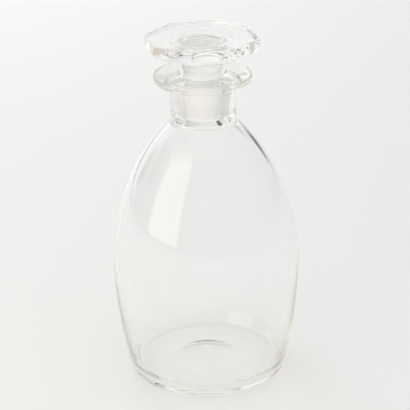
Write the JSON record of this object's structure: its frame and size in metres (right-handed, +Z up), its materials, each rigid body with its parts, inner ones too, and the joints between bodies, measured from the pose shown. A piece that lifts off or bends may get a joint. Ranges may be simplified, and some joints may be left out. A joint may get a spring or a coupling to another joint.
{
  "type": "liquor decanter",
  "caption": "Egg-shaped clear glass decanter with a short neck, a flanged pouring lip and a lift-out ground-in stopper with a flat eight-sided head.",
  "frame": {"origin": "centre of the face that the decanter rests on", "axes": "+Z up along the decanter's axis, through the stopper; the body is round, so X and Y follow the stopper's eight sides, turned as in the picture with the camera on -Y"},
  "size_m": [0.1066, 0.1066, 0.2],
  "materials": {
    "vessel_glass": "clear blown glass, polished, with the bore of the neck ground to a fine frost",
    "stopper_glass": "clear pressed glass with a cut and polished head and a ground, finely frosted plug"
  },
  "bodies": {
    "vessel": {"decanter_vessel": "vessel_glass"},
    "stopper": {"octagonal_stopper": "stopper_glass"}
  },
  "joints": [
    {"name": "stopper_lift", "type": "slide", "parent": "vessel", "child": "stopper", "axis": [0, 0, 1], "range_m": [0, 0.045]}
  ]
}
